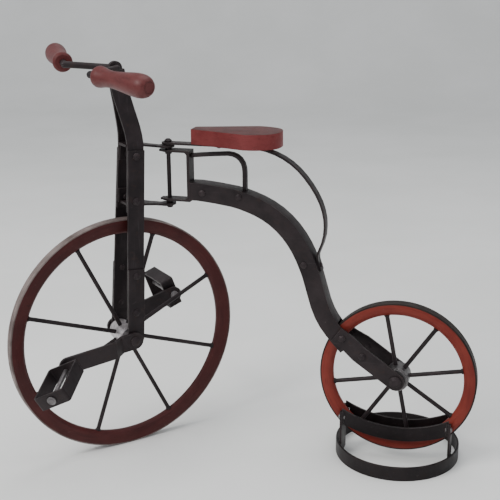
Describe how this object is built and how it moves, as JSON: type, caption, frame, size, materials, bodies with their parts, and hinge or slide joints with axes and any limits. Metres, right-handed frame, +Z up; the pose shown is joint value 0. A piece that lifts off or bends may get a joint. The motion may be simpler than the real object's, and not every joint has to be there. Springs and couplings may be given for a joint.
{
  "type": "child velocipede",
  "caption": "Child's high-wheel velocipede in riveted flat bar with wooden rims, turned grips, a sprung wooden seat and a separate bar stand under the rear wheel.",
  "frame": {"origin": "bottom centre of the box round the part at rest", "axes": "+Z up, +X towards the rear wheel in the plane of the backbone, +Y towards the rider's right"},
  "size_m": [0.6358, 0.3533, 0.5706],
  "materials": {
    "dark_steel": "worn satin dark brown-grey",
    "bare_steel": "dull",
    "iron_tyre": "worn tread",
    "maroon_wood": "faded painted wood",
    "red_wood": "faded painted wood",
    "pink_wood": "faded painted wood"
  },
  "bodies": {
    "frame": {"backbone": "dark_steel", "head_bracket": "dark_steel", "carry_loop": "dark_steel", "frame_rivets": "dark_steel", "steering_pin": "dark_steel", "pin_collars": "dark_steel", "seat_spring": "dark_steel", "spring_rivet": "dark_steel", "seat_board": "pink_wood", "seat_screws": "bare_steel", "rear_blade_left": "dark_steel", "rear_blade_right": "dark_steel", "rear_fork_rivets": "dark_steel", "rear_axle": "dark_steel", "rear_spacers": "bare_steel"},
    "steering": {"fork_blade_left": "dark_steel", "fork_blade_right": "dark_steel", "axle_plate_left": "dark_steel", "axle_plate_right": "dark_steel", "fork_prong_left": "dark_steel", "fork_prong_right": "dark_steel", "fork_crown_upper": "dark_steel", "fork_crown_lower": "dark_steel", "fork_ears": "dark_steel", "fork_rivets": "dark_steel", "handlebar": "dark_steel", "grip_left": "pink_wood", "grip_right": "pink_wood"},
    "front_wheel": {"front_rim": "maroon_wood", "front_tyre": "iron_tyre", "front_hub": "bare_steel", "front_spokes": "dark_steel", "front_collars": "dark_steel", "front_axle": "dark_steel", "front_washers": "bare_steel", "crank_left": "dark_steel", "crank_right": "dark_steel", "pedal_pin_left": "bare_steel", "pedal_pin_right": "bare_steel"},
    "pedal_loop_left": {"pedal_left": "dark_steel"},
    "pedal_loop_right": {"pedal_right": "dark_steel"},
    "rear_wheel": {"rear_rim": "red_wood", "rear_tyre": "iron_tyre", "rear_hub": "bare_steel", "rear_spokes": "dark_steel", "rear_collars": "dark_steel"},
    "stand": {"base_ring": "dark_steel", "stand_post_front": "dark_steel", "stand_post_rear": "dark_steel", "cradle_left": "dark_steel", "cradle_right": "dark_steel", "stand_bolts": "bare_steel", "stand_welds": "dark_steel"}
  },
  "joints": [
    {"name": "steering_turn", "type": "hinge", "parent": "frame", "child": "steering", "pos_m": [-0.12308, 0.06568, 0.395], "axis": [0, 0, 1], "range_deg": [-122, 28]},
    {"name": "front_wheel_spin", "type": "hinge", "parent": "steering", "child": "front_wheel", "pos_m": [-0.17628, 0.00863, 0.17], "axis": [-0.7314, 0.682, 0], "continuous": true},
    {"name": "left_pedal_spin", "type": "hinge", "parent": "front_wheel", "child": "pedal_loop_left", "pos_m": [-0.21166, -0.10116, 0.15902], "axis": [0.1524, -0.9624, -0.225], "continuous": true},
    {"name": "right_pedal_spin", "type": "hinge", "parent": "front_wheel", "child": "pedal_loop_right", "pos_m": [-0.14279, 0.11639, 0.19629], "axis": [-0.7314, 0.682, 0], "continuous": true},
    {"name": "rear_wheel_spin", "type": "hinge", "parent": "frame", "child": "rear_wheel", "pos_m": [0.20892, 0.06568, 0.1244], "axis": [0, 1, 0], "continuous": true},
    {"name": "stand_lift_off", "type": "slide", "parent": "frame", "child": "stand", "axis": [0, 0, -1], "range_m": [0, 0.12]}
  ]
}
